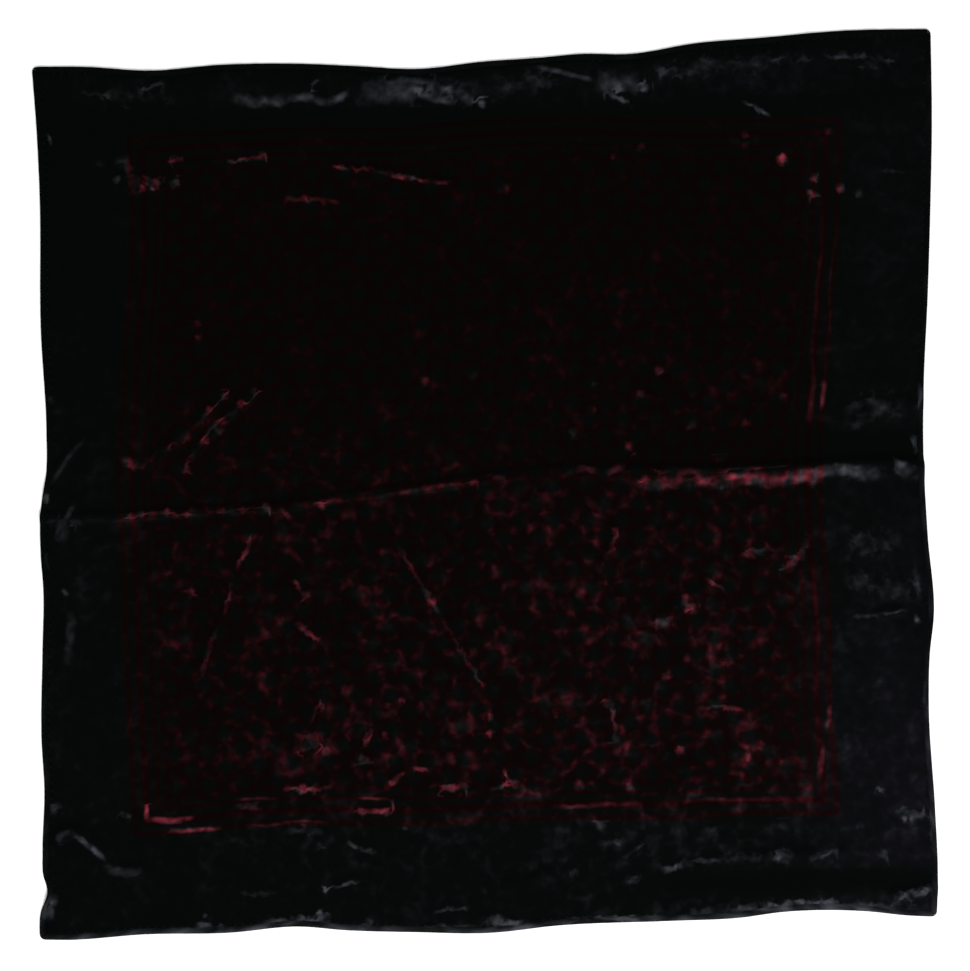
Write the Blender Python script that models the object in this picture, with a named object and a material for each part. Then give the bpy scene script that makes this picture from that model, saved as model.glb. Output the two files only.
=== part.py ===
"""Velvet foulard scarf laid out flat: one printed square of cloth inside four rolled hems.

Every size below is in millimetres, and the meshes are made in metres with +Z up. The ground is at
z = 0, and the origin lies on it under the middle of the laid-out scarf. The top of the photo is +Y.
"""
from collections import namedtuple

import bmesh
import bpy
import numpy as np
from mathutils.geometry import delaunay_2d_cdt

MM = 0.001

# How the scarf is made
CLOTH_WALL = 1.5        # velvet: pile and ground weave together
HEM_WIDTH = 7.0         # the edge rolled over twice and slip-stitched
HEM_HEIGHT = 3.2
CORNER_RADIUS = 6.0     # how far the rolled corners are rounded
SEAM_GAP = 0.3          # between pieces that touch

# How finely it is cut into triangles
EDGE_STEP = 16.0        # between places along an edge
FIELD_STEP = 33.0       # between points where the cloth lies flat
FOLD_STEP = 12.0        # between points along a fold
FOLD_LINES = (0, -0.5, 0.5, -1, 1)      # rows along a fold: its crest, halfway down, its feet
CLOSEST = 3.6           # no point of a fold is nearer than this to the next
RAISED = 0.3            # an edge lifted more than this gets closer steps
FIELD_HALF = 450.0      # the plain grid reaches this far from the middle
SMOOTH_BELOW = 50.0     # degrees: a sharper edge than this stays sharp when shaded

# The four corners as laid out
CORNERS = {
    "bottom_left": (-447.7, -457.5),
    "bottom_right": (454.3, -434.5),
    "top_right": (447.9, 458.0),
    "top_left": (-455.7, 419.9),
}

# The edges bow in and out of the straight line between corners.
# Columns: share of the way from the side's first corner, bow outwards.
SIDES = {
    "bottom": ("bottom_left", "bottom_right", [
        (0.00, 0.0), (0.03, 1.0), (0.12, -2.6), (0.21, -2.0), (0.29, -6.4), (0.34, -1.7),
        (0.42, 2.2), (0.50, 4.8), (0.58, -1.0), (0.70, -2.6), (0.78, -4.0), (0.83, -8.8),
        (0.92, -7.4), (0.97, -1.8), (1.00, 0.0)]),
    "right": ("bottom_right", "top_right", [
        (0.00, 0.0), (0.05, 1.3), (0.12, -1.0), (0.24, -6.6), (0.295, -5.3), (0.34, -0.9),
        (0.43, -6.5), (0.53, -10.3), (0.60, -9.4), (0.70, -4.8), (0.81, -1.2), (0.89, 0.6),
        (1.00, 0.0)]),
    "top": ("top_right", "top_left", [
        (0.00, 0.0), (0.10, 1.9), (0.19, -1.8), (0.26, -4.3), (0.335, -12.4), (0.39, -10.3),
        (0.435, -12.4), (0.50, -14.0), (0.57, -18.5), (0.64, -13.0), (0.70, -8.4), (0.79, -6.0),
        (0.87, -8.8), (0.94, -2.4), (1.00, 0.0)]),
    "left": ("top_left", "bottom_left", [
        (0.00, 0.0), (0.07, -4.2), (0.15, -6.9), (0.30, -6.8), (0.42, -11.6), (0.465, -11.0),
        (0.51, -4.9), (0.56, -4.7), (0.60, -7.0), (0.67, -5.6), (0.77, -3.8), (0.83, -6.2),
        (0.90, -3.8), (0.925, -4.0), (0.947, -8.5), (0.968, -1.6), (1.00, 0.0)]),
}

# The crease left by folding the scarf in half stands across it from edge to edge.
# Columns: x, y of the crest, height, how far it slopes down towards -Y, and towards +Y.
MID_CREASE = [
    (-470, -32, 3.2, 10, 9),
    (-362, -31, 3.0, 10, 9),
    (-275, -25, 3.0, 10, 9),
    (-200, -21, 3.2, 11, 9),
    (-138, -11, 3.2, 11, 9),
    (-52, -1, 3.0, 11, 10),
    (10, 9, 3.4, 13, 10),
    (73, 14, 2.6, 13, 10),
    (135, 14, 4.2, 17, 11),
    (229, 13, 5.6, 20, 12),
    (290, 16, 6.0, 21, 12),
    (341, 19, 6.0, 21, 12),
    (400, 22, 5.6, 22, 12),
    (470, 15, 4.6, 18, 12),
]

# The other large folds, each along a curve from its start through its middle to its end.
Fold = namedtuple("Fold", "name start middle end height reach")
FOLDS = [
    Fold("top border roll, left", (-420, 404), (-240, 400), (-118, 404), 3.2, 18),
    Fold("top border roll, middle", (-170, 398), (-45, 402), (70, 418), 4.0, 20),
    Fold("top border roll, right", (80, 408), (215, 422), (440, 440), 3.6, 18),
    Fold("top border dip", (40, 420), (110, 404), (150, 384), 3.0, 13),
    Fold("upper thin crease", (-160, 320), (-90, 311), (-20, 302), 2.5, 9),
    Fold("upper left corner", (-376, 306), (-340, 300), (-298, 303), 2.6, 10),
    Fold("left diagonal, low", (-304, 12), (-268, 60), (-212, 103), 3.2, 11),
    Fold("left diagonal, high", (-350, 14), (-298, 54), (-256, 92), 2.8, 11),
    Fold("left edge pinch", (-448, -18), (-424, 24), (-402, 50), 2.8, 9),
    Fold("left edge fan", (-408, -10), (-424, -42), (-438, -88), 3.2, 12),
    Fold("left border streak", (-421, -100), (-417, -145), (-419, -192), 3.0, 10),
    Fold("left field", (-238, -46), (-254, -108), (-296, -214), 3.2, 11),
    Fold("middle field", (-92, -50), (-48, -128), (4, -206), 3.6, 11),
    Fold("middle left field", (-197, -92), (-184, -128), (-154, -176), 2.8, 11),
    Fold("off the mid crease", (142, 2), (134, -50), (112, -88), 3.6, 12),
    Fold("right field", (156, -144), (192, -126), (228, -94), 3.2, 13),
    Fold("right field, upper", (258, -92), (290, -70), (328, -48), 3.0, 13),
    Fold("right border, upper", (346, 72), (392, 66), (446, 92), 3.0, 16),
    Fold("right border streak", (366, -134), (400, -130), (434, -125), 2.6, 9),
    Fold("lower left squiggle", (-434, -364), (-410, -348), (-378, -378), 4.0, 11),
    Fold("lower left squiggle, tail", (-384, -372), (-362, -390), (-336, -384), 3.4, 11),
    Fold("lower left frame corner", (-348, -328), (-330, -341), (-286, -341), 3.0, 10),
    Fold("lower left hem pinch", (-458, -404), (-436, -418), (-420, -438), 3.4, 11),
    Fold("lower right hem pinch", (398, -416), (426, -411), (462, -404), 4.2, 12),
    Fold("lower border swell", (172, -390), (290, -376), (404, -374), 3.0, 14),
    Fold("lower border rise", (-10, -404), (44, -400), (72, -382), 2.8, 12),
]
LEAST_LIFT = 0.02       # a fold's outermost skirt under this height lies on the ground

# Section through a hem, anticlockwise seen from the side's start.
# Columns: share of its width from the seam outwards, share of its height.
HEM_SECTION = [
    (0.04, 0.00), (0.50, 0.00), (0.86, 0.00), (1.00, 0.42),
    (0.88, 0.82), (0.55, 1.00), (0.20, 0.84), (0.00, 0.44),
]

PANEL_COLOUR = (0.0065, 0.0040, 0.0040)
HEM_COLOUR = (0.0042, 0.0045, 0.0048)
VELVET_ROUGHNESS = 0.92


def smooth_column(rows, column, at):
    """Reads one column of a table at any place along its first, with a smooth curve through the rows."""
    places = np.array([row[0] for row in rows], float)
    values = np.array([row[column] for row in rows], float)
    slopes = np.gradient(values, places)
    at = np.clip(at, places[0], places[-1])
    row = np.clip(np.searchsorted(places, at) - 1, 0, len(places) - 2)
    span = places[row + 1] - places[row]
    t = (at - places[row]) / span
    return (values[row] * (2 * t ** 3 - 3 * t ** 2 + 1)
            + slopes[row] * span * (t ** 3 - 2 * t ** 2 + t)
            + values[row + 1] * (3 * t ** 2 - 2 * t ** 3)
            + slopes[row + 1] * span * (t ** 3 - t ** 2))


def soft_ridge(distance, reach):
    """A rounded ridge: 1 on its crest, running out level at its reach."""
    return 0.5 + 0.5 * np.cos(np.pi * np.clip(distance / reach, 0.0, 1.0))


def fold_path(fold, shares):
    """Points along a fold's crest, on the parabola through its three points."""
    t = np.asarray(shares, float)[:, None]
    return ((2 * t ** 2 - 3 * t + 1) * np.array(fold.start, float)
            + (4 * t - 4 * t ** 2) * np.array(fold.middle, float)
            + (2 * t ** 2 - t) * np.array(fold.end, float))


def fold_lift(fold, x, y):
    """Height that one fold gives the cloth, tapering to nothing at the fold's two ends."""
    pieces = 16
    path = fold_path(fold, np.linspace(0.0, 1.0, pieces + 1))
    nearest = np.full(x.shape, np.inf)
    share = np.zeros(x.shape)
    for i in range(pieces):
        run = path[i + 1] - path[i]
        along = ((x - path[i][0]) * run[0] + (y - path[i][1]) * run[1]) / run.dot(run)
        along = np.clip(along, 0.0, 1.0)
        away = np.hypot(x - path[i][0] - along * run[0], y - path[i][1] - along * run[1])
        closer = away < nearest
        nearest = np.where(closer, away, nearest)
        share = np.where(closer, (i + along) / pieces, share)
    taper = 1.0 - (2.0 * share - 1.0) ** 4
    return fold.height * taper * soft_ridge(nearest, fold.reach)


def mid_crease_lift(x, y):
    """Height of the mid crease, which slopes more gently towards -Y than towards +Y."""
    off_crest = y - smooth_column(MID_CREASE, 1, x)
    reach = np.where(off_crest < 0, smooth_column(MID_CREASE, 3, x), smooth_column(MID_CREASE, 4, x))
    return smooth_column(MID_CREASE, 2, x) * soft_ridge(np.abs(off_crest), reach)


def lift(x, y):
    """Height of the cloth's underside over the ground, with crossing folds blended softly."""
    x = np.asarray(x, float)
    y = np.asarray(y, float)
    cubes = mid_crease_lift(x, y) ** 3
    for fold in FOLDS:
        cubes = cubes + fold_lift(fold, x, y) ** 3
    height = np.cbrt(cubes)
    return np.where(height < LEAST_LIFT, 0.0, height)


def unit(vector):
    return vector / np.linalg.norm(vector)


def corner_points(inset):
    """The four corners of the outline moved in by the same distance from both of their sides."""
    names = list(CORNERS)
    moved = {}
    for i, name in enumerate(names):
        here = np.array(CORNERS[name])
        before = unit(np.array(CORNERS[names[i - 1]]) - here)
        after = unit(np.array(CORNERS[names[(i + 1) % 4]]) - here)
        half_angle = 0.5 * np.arccos(before.dot(after))
        moved[name] = here + unit(before + after) * inset / np.sin(half_angle)
    return moved


def side_line(side, inset, shares):
    """Points along one side at the given shares, bowed as laid and moved in by the inset."""
    first, last, bows = SIDES[side]
    corners = corner_points(inset)
    chord = corners[last] - corners[first]
    outward = unit(np.array([chord[1], -chord[0]]))
    t = np.asarray(shares, float)
    return corners[first] + t[:, None] * chord + smooth_column(bows, 1, t)[:, None] * outward


def side_length(side):
    first, last, _ = SIDES[side]
    return float(np.linalg.norm(np.array(CORNERS[last]) - np.array(CORNERS[first])))


def side_shares(side):
    """Places along a side: even steps, closer at the corners and where a fold crosses the edge."""
    length = side_length(side)
    near_corner = np.array([0.0, 2.0, 4.5, 8.0]) / length
    steps = round(length / EDGE_STEP)
    even = np.arange(1, steps) / steps
    shares = np.concatenate([near_corner, even, 1.0 - near_corner])
    for _ in range(2):
        shares = np.sort(shares)
        halfway = 0.5 * (shares[:-1] + shares[1:])
        line = side_line(side, 0.5 * HEM_WIDTH, halfway)
        wide = np.diff(shares) * length > 0.4 * EDGE_STEP
        raised = lift(line[:, 0], line[:, 1]) > RAISED
        shares = np.concatenate([shares, halfway[wide & raised]])
    return np.sort(shares)


def finish_object(name, bm, colour):
    """Turns a closed shell into a named object with its own velvet material."""
    bmesh.ops.recalc_face_normals(bm, faces=bm.faces[:])
    mesh = bpy.data.meshes.new(name)
    bm.to_mesh(mesh)
    bm.free()
    mesh.shade_smooth()
    mesh.set_sharp_from_angle(angle=np.radians(SMOOTH_BELOW))
    material = bpy.data.materials.new(name + "_velvet")
    material.use_nodes = True
    principled = material.node_tree.nodes["Principled BSDF"]
    principled.inputs["Base Color"].default_value = (*colour, 1.0)
    principled.inputs["Roughness"].default_value = VELVET_ROUGHNESS
    mesh.materials.append(material)
    thing = bpy.data.objects.new(name, mesh)
    bpy.context.scene.collection.objects.link(thing)
    return thing


def panel_outline():
    """The panel's edge, anticlockwise: all four sides, one seam gap in from the hems."""
    lines = [side_line(side, HEM_WIDTH + SEAM_GAP, side_shares(side))[:-1] for side in SIDES]
    return np.concatenate(lines)


def fold_rows():
    """Rows of points along every fold: its crest, halfway down and at the foot of each side."""
    rows = []
    x = np.arange(-FIELD_HALF, FIELD_HALF, FOLD_STEP)
    crest = smooth_column(MID_CREASE, 1, x)
    for down in FOLD_LINES:
        reach = smooth_column(MID_CREASE, 3 if down < 0 else 4, x)
        rows.append(np.column_stack([x, crest + down * reach]))
    for fold in FOLDS:
        length = np.linalg.norm(np.subtract(fold.end, fold.start))
        shares = np.linspace(0.0, 1.0, max(4, round(length / FOLD_STEP) + 1))
        path = fold_path(fold, shares)
        along = np.gradient(path, axis=0)
        across = np.column_stack([-along[:, 1], along[:, 0]])
        across /= np.linalg.norm(across, axis=1)[:, None]
        for down in FOLD_LINES:
            rows.append(path + down * fold.reach * across)
    return rows


def inside(points, ring):
    """Whether each point lies inside a closed ring of points."""
    x, y = points[:, 0], points[:, 1]
    found = np.zeros(len(points), bool)
    for a, b in zip(ring, np.roll(ring, -1, axis=0)):
        crosses = (a[1] > y) != (b[1] > y)
        with np.errstate(divide="ignore", invalid="ignore"):
            at = a[0] + (y - a[1]) / (b[1] - a[1]) * (b[0] - a[0])
        found ^= crosses & (x < at)
    return found


def panel_points(ring):
    """Points over the panel: its edge, the folds, then a plain grid where nothing else is near."""
    steps = round(2 * FIELD_HALF / FIELD_STEP)
    places = np.linspace(-FIELD_HALF, FIELD_HALF, steps + 1)
    grid = np.array([(x, y) for x in places for y in places])
    wanted = np.concatenate(fold_rows())
    wanted = wanted[inside(wanted, ring)]
    grid = grid[inside(grid, ring)]
    kept = list(ring)
    for points, spacing in ((wanted, CLOSEST), (grid, 0.45 * FIELD_STEP)):
        for point in points:
            if np.min(np.hypot(*(np.array(kept) - point).T)) > spacing:
                kept.append(point)
    return np.array(kept)


def velvet_panel():
    """The printed square: one wall of cloth, flat on the ground but where a fold lifts it."""
    ring = panel_outline()
    points = panel_points(ring)
    flat = delaunay_2d_cdt([tuple(p) for p in points], [], [list(range(len(ring)))], 1, 1e-4)
    spots, triangles = flat[0], flat[2]
    height = lift([p.x for p in spots], [p.y for p in spots])
    bm = bmesh.new()
    under = [bm.verts.new((p.x * MM, p.y * MM, z * MM)) for p, z in zip(spots, height)]
    over = [bm.verts.new((p.x * MM, p.y * MM, (z + CLOTH_WALL) * MM)) for p, z in zip(spots, height)]
    for triangle in triangles:
        bm.faces.new([over[i] for i in triangle])
        bm.faces.new([under[i] for i in reversed(triangle)])
    rim = [edge for edge in bm.edges if edge.is_boundary]
    bmesh.ops.bridge_loops(bm, edges=rim)
    return finish_object("velvet_panel", bm, PANEL_COLOUR)


def hem(side):
    """One rolled hem: its D-shaped section swept along a side and mitred at both corners."""
    length = side_length(side)
    mitre_gap = 0.5 * SEAM_GAP * np.sqrt(2.0) / length
    shares = np.clip(side_shares(side), mitre_gap, 1.0 - mitre_gap)
    outer = side_line(side, 0.0, shares)
    inner = side_line(side, HEM_WIDTH, shares)
    from_corner = np.minimum(shares, 1.0 - shares) * length
    rounding = (np.sqrt(2.0) - 1.0) * CORNER_RADIUS
    pulled_in = rounding * np.clip(1.0 - from_corner / CORNER_RADIUS, 0.0, 1.0) ** 2
    across = outer - inner
    outer = outer - across * (pulled_in / np.linalg.norm(across, axis=1))[:, None]
    section = np.array(HEM_SECTION)
    spots = inner[:, None] + section[None, :, 0, None] * (outer - inner)[:, None]
    height = lift(spots[..., 0], spots[..., 1]) + section[:, 1] * HEM_HEIGHT
    bm = bmesh.new()
    rings = [[bm.verts.new((x * MM, y * MM, z * MM)) for (x, y), z in zip(*ring)]
             for ring in zip(spots, height)]
    sides = len(HEM_SECTION)
    for here, there in zip(rings, rings[1:]):
        for i in range(sides):
            j = (i + 1) % sides
            bm.faces.new((here[i], here[j], there[j], there[i]))
    bm.faces.new(rings[0])
    bm.faces.new(rings[-1][::-1])
    return finish_object("hem_" + side, bm, HEM_COLOUR)


def main():
    for thing in list(bpy.data.objects):
        bpy.data.objects.remove(thing)
    velvet_panel()
    for side in SIDES:
        hem(side)


main()
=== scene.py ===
import bmesh
import bpy
import numpy as np
from mathutils import Matrix, Vector, noise


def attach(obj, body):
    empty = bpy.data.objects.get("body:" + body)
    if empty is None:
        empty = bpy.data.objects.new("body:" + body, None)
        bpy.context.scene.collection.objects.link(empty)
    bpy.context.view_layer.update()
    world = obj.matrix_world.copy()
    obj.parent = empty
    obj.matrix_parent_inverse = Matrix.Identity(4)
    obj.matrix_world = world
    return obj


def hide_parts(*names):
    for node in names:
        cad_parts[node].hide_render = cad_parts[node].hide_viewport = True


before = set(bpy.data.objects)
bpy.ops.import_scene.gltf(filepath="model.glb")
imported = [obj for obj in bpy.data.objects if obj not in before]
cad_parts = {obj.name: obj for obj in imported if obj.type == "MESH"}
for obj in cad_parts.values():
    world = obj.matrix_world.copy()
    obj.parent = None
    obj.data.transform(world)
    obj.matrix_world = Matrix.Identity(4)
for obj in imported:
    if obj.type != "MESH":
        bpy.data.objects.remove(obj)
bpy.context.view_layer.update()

# Velvet face
# The scarf is one square of light cut-pile velvet, near-black, with a frame of three lines and a
# lattice of petals printed in dark red. It lies flat but for the crease of its last folding, which
# stands across the middle, and the smaller creases round it. Sizes are in millimetres.
MM = 0.001
CORNERS = {
    "bottom_left": (-447.7, -457.5),
    "bottom_right": (454.3, -434.5),
    "top_right": (447.9, 458.0),
    "top_left": (-455.7, 419.9),
}

# Each side's first and last corner, and how it bows as it lies.
# Columns: share of the way from the first corner, bow outwards
SIDES = {
    "bottom": ("bottom_left", "bottom_right", [
        (0.00, 0.0), (0.03, 1.0), (0.12, -2.6), (0.21, -2.0), (0.29, -6.4), (0.34, -1.7),
        (0.42, 2.2), (0.50, 4.8), (0.58, -1.0), (0.70, -2.6), (0.78, -4.0), (0.83, -8.8),
        (0.92, -7.4), (0.97, -1.8), (1.00, 0.0)]),
    "right": ("bottom_right", "top_right", [
        (0.00, 0.0), (0.05, 1.3), (0.12, -1.0), (0.24, -6.6), (0.295, -5.3), (0.34, -0.9),
        (0.43, -6.5), (0.53, -10.3), (0.60, -9.4), (0.70, -4.8), (0.81, -1.2), (0.89, 0.6),
        (1.00, 0.0)]),
    "top": ("top_right", "top_left", [
        (0.00, 0.0), (0.10, 1.9), (0.19, -1.8), (0.26, -4.3), (0.335, -12.4), (0.39, -10.3),
        (0.435, -12.4), (0.50, -14.0), (0.57, -18.5), (0.64, -13.0), (0.70, -8.4), (0.79, -6.0),
        (0.87, -8.8), (0.94, -2.4), (1.00, 0.0)]),
    "left": ("top_left", "bottom_left", [
        (0.00, 0.0), (0.07, -4.2), (0.15, -6.9), (0.30, -6.8), (0.42, -11.6), (0.465, -11.0),
        (0.51, -4.9), (0.56, -4.7), (0.60, -7.0), (0.67, -5.6), (0.77, -3.8), (0.83, -6.2),
        (0.90, -3.8), (0.925, -4.0), (0.947, -8.5), (0.968, -1.6), (1.00, 0.0)]),
}

# Columns: x, y of the crest, height, slope's length towards -Y, and towards +Y
MID_CREASE = [
    (-470, -32, 3.2, 10, 9),
    (-362, -31, 3.0, 10, 9),
    (-275, -25, 3.0, 10, 9),
    (-200, -21, 3.2, 11, 9),
    (-138, -11, 3.2, 11, 9),
    (-52, -1, 3.0, 11, 10),
    (10, 9, 3.4, 13, 10),
    (73, 14, 2.6, 13, 10),
    (135, 14, 4.2, 17, 11),
    (229, 13, 5.6, 20, 12),
    (290, 16, 6.0, 21, 12),
    (341, 19, 6.0, 21, 12),
    (400, 22, 5.6, 22, 12),
    (470, 15, 4.6, 18, 12),
]

# Columns: name, where the fold starts, its middle, where it ends, height, how far each side slopes
FOLDS = [
    ("top border roll, left", (-420, 404), (-240, 400), (-118, 404), 3.2, 18),
    ("top border roll, middle", (-170, 398), (-45, 402), (70, 418), 4.0, 20),
    ("top border roll, right", (80, 408), (215, 422), (440, 440), 3.6, 18),
    ("top border dip", (40, 420), (110, 404), (150, 384), 3.0, 13),
    ("upper thin crease", (-160, 320), (-90, 311), (-20, 302), 2.5, 9),
    ("upper left corner", (-376, 306), (-340, 300), (-298, 303), 2.6, 10),
    ("left diagonal, low", (-304, 12), (-268, 60), (-212, 103), 3.2, 11),
    ("left diagonal, high", (-350, 14), (-298, 54), (-256, 92), 2.8, 11),
    ("left edge pinch", (-448, -18), (-424, 24), (-402, 50), 2.8, 9),
    ("left edge fan", (-408, -10), (-424, -42), (-438, -88), 3.2, 12),
    ("left border streak", (-421, -100), (-417, -145), (-419, -192), 3.0, 10),
    ("left field", (-238, -46), (-254, -108), (-296, -214), 3.2, 11),
    ("middle field", (-92, -50), (-48, -128), (4, -206), 3.6, 11),
    ("middle left field", (-197, -92), (-184, -128), (-154, -176), 2.8, 11),
    ("off the mid crease", (142, 2), (134, -50), (112, -88), 3.6, 12),
    ("right field", (156, -144), (192, -126), (228, -94), 3.2, 13),
    ("right field, upper", (258, -92), (290, -70), (328, -48), 3.0, 13),
    ("right border, upper", (346, 72), (392, 66), (446, 92), 3.0, 16),
    ("right border streak", (366, -134), (400, -130), (434, -125), 2.6, 9),
    ("lower left squiggle", (-434, -364), (-410, -348), (-378, -378), 4.0, 11),
    ("lower left squiggle, tail", (-384, -372), (-362, -390), (-336, -384), 3.4, 11),
    ("lower left frame corner", (-348, -328), (-330, -341), (-286, -341), 3.0, 10),
    ("lower left hem pinch", (-458, -404), (-436, -418), (-420, -438), 3.4, 11),
    ("lower right hem pinch", (398, -416), (426, -411), (462, -404), 4.2, 12),
    ("lower border swell", (172, -390), (290, -376), (404, -374), 3.0, 14),
    ("lower border rise", (-10, -404), (44, -400), (72, -382), 2.8, 12),
]

# Smaller creases, which the solid panel does without. Columns as above
SMALL_FOLDS = [
    ("upper left frame line", (-318, 322), (-258, 324), (-204, 334), 1.4, 7),
    ("upper left field", (-207, 288), (-176, 286), (-140, 282), 1.4, 8),
    ("upper right border", (252, 388), (275, 376), (294, 364), 1.6, 7),
    ("upper right frame line", (354, 300), (370, 295), (388, 286), 1.5, 7),
    ("middle left, upper", (-196, -94), (-190, -104), (-182, -118), 1.5, 8),
    ("left field, branch", (-258, -112), (-246, -104), (-236, -96), 1.2, 8),
    ("lower left field hook", (-168, -222), (-180, -250), (-164, -272), 1.8, 9),
    ("lower left field, second hook", (-112, -240), (-122, -266), (-108, -280), 1.8, 9),
    ("lower field bar", (126, -212), (134, -240), (126, -266), 1.8, 9),
    ("lower right field bar", (208, -227), (236, -223), (268, -231), 1.5, 8),
    ("bottom frame, left", (-204, -303), (-180, -308), (-150, -306), 1.6, 8),
    ("bottom frame, middle left", (-102, -310), (-84, -290), (-58, -290), 1.6, 8),
    ("bottom frame, middle", (-48, -309), (-8, -305), (28, -298), 1.6, 8),
    ("bottom frame, second line", (-134, -324), (-110, -323), (-88, -322), 1.6, 8),
    ("bottom border, left dash", (-145, -356), (-130, -364), (-108, -370), 1.6, 8),
    ("bottom border, left corner", (-162, -410), (-146, -403), (-120, -394), 1.5, 8),
    ("bottom border, right fan", (86, -392), (110, -383), (136, -366), 1.4, 9),
    ("bottom border, right fan, upper", (134, -374), (148, -364), (164, -354), 1.5, 8),
    ("right border, lower", (346, -84), (392, -96), (438, -102), 1.6, 12),
    ("top border, left dash", (-404, 392), (-390, 391), (-372, 392), 1.5, 8),
    ("top border, second dash", (-350, 396), (-336, 399), (-322, 403), 1.6, 8),
]


def smooth_column(rows, column, at):
    """Reads one column of a table at any place along its first, with a smooth curve through the rows."""
    places = np.array([row[0] for row in rows], float)
    values = np.array([row[column] for row in rows], float)
    slopes = np.gradient(values, places)
    at = np.clip(at, places[0], places[-1])
    row = np.clip(np.searchsorted(places, at) - 1, 0, len(places) - 2)
    span = places[row + 1] - places[row]
    t = (at - places[row]) / span
    return (values[row] * (2 * t ** 3 - 3 * t ** 2 + 1)
            + slopes[row] * span * (t ** 3 - 2 * t ** 2 + t)
            + values[row + 1] * (3 * t ** 2 - 2 * t ** 3)
            + slopes[row + 1] * span * (t ** 3 - t ** 2))


def soft_ridge(distance, reach):
    """A rounded ridge: 1 on its crest, running out level at its reach."""
    return 0.5 + 0.5 * np.cos(np.pi * np.clip(distance / reach, 0.0, 1.0))


def curve_through(start, middle, end, shares):
    """Points on the parabola through three points."""
    t = np.asarray(shares, float)[:, None]
    return ((2 * t ** 2 - 3 * t + 1) * np.array(start, float)
            + (4 * t - 4 * t ** 2) * np.array(middle, float)
            + (2 * t ** 2 - t) * np.array(end, float))


def near_curve(x, y, start, middle, end):
    """How far each point lies off a curve through three points, how far along it, and on which side."""
    pieces = 16
    path = curve_through(start, middle, end, np.linspace(0.0, 1.0, pieces + 1))
    nearest = np.full(x.shape, np.inf)
    share = np.zeros(x.shape)
    side = np.ones(x.shape)
    for i in range(pieces):
        run = path[i + 1] - path[i]
        from_x = x - path[i][0]
        from_y = y - path[i][1]
        along = np.clip((from_x * run[0] + from_y * run[1]) / run.dot(run), 0.0, 1.0)
        away = np.hypot(from_x - along * run[0], from_y - along * run[1])
        closer = away < nearest
        nearest = np.where(closer, away, nearest)
        share = np.where(closer, (i + along) / pieces, share)
        side = np.where(closer, np.sign(run[0] * from_y - run[1] * from_x), side)
    return nearest, share, side


def ridge_along(x, y, start, middle, end, reach):
    """A soft ridge along a curve, 1 at its crest, tapering to nothing at the curve's ends."""
    away, share, _ = near_curve(x, y, start, middle, end)
    return (1.0 - (2.0 * share - 1.0) ** 4) * soft_ridge(away, reach)


def lift(x, y, folds):
    """Height that the mid crease and the given folds lift the cloth off the ground."""
    off_crest = y - smooth_column(MID_CREASE, 1, x)
    reach = np.where(off_crest < 0, smooth_column(MID_CREASE, 3, x), smooth_column(MID_CREASE, 4, x))
    cubes = (smooth_column(MID_CREASE, 2, x) * soft_ridge(np.abs(off_crest), reach)) ** 3
    for _, start, middle, end, height, fold_reach in folds:
        cubes = cubes + (height * ridge_along(x, y, start, middle, end, fold_reach)) ** 3
    return np.cbrt(cubes)


def unit(vector):
    """The vector's direction, one long."""
    return vector / np.linalg.norm(vector)


def corner_points(inset):
    """The four corners of the outline moved in by the same distance from both of their sides."""
    names = list(CORNERS)
    moved = {}
    for i, name in enumerate(names):
        here = np.array(CORNERS[name])
        before = unit(np.array(CORNERS[names[i - 1]]) - here)
        after = unit(np.array(CORNERS[names[(i + 1) % 4]]) - here)
        half_angle = 0.5 * np.arccos(before.dot(after))
        moved[name] = here + unit(before + after) * inset / np.sin(half_angle)
    return moved


def side_line(side, inset, shares):
    """Points along one side at the given shares, bowed as laid and moved in by the inset."""
    first, last, bows = SIDES[side]
    corners = corner_points(inset)
    chord = corners[last] - corners[first]
    outward = unit(np.array([chord[1], -chord[0]]))
    t = np.asarray(shares, float)
    bow = smooth_column(bows, 1, t)
    return corners[first] + t[..., None] * chord + bow[..., None] * outward


def laid_out(s, t, inset):
    """Where a point of the flat square comes to lie, s across and t up, blended from its four sides."""
    corners = corner_points(inset)
    sides = ((1 - t)[..., None] * side_line("bottom", inset, s)
             + t[..., None] * side_line("top", inset, 1 - s)
             + (1 - s)[..., None] * side_line("left", inset, 1 - t)
             + s[..., None] * side_line("right", inset, t))
    doubled = ((1 - s) * (1 - t))[..., None] * corners["bottom_left"]
    doubled = doubled + (s * (1 - t))[..., None] * corners["bottom_right"]
    doubled = doubled + (s * t)[..., None] * corners["top_right"]
    doubled = doubled + ((1 - s) * t)[..., None] * corners["top_left"]
    return sides - doubled


# Crinkles too small to place by hand. Columns: middle of the zone, its half-width and half-height, height
CRINKLE_ZONES = [
    ((0, -170), (400, 190), 0.55),
    ((160, -60), (230, 150), 0.35),
    ((-330, -40), (140, 120), 0.25),
    ((0, -390), (470, 60), 0.40),
    ((400, -80), (70, 420), 0.40),
    ((60, 402), (480, 40), 0.65),
    ((0, 180), (470, 320), 0.12),
]
CRINKLE_EDGE = 0.5      # a zone is as strong as this over this share of it, and runs out from there
CRINKLE_FADE = 0.8
CRINKLE_LENGTH = 26.0
CRINKLE_SHARPNESS = 2.2
FINE_CRINKLE = 0.45     # of the coarse one's height, this much shorter, and shifted against it
FINE_CRINKLE_SHORTER = 2.3
FINE_CRINKLE_SHIFT = (7, 3, 5)


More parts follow.
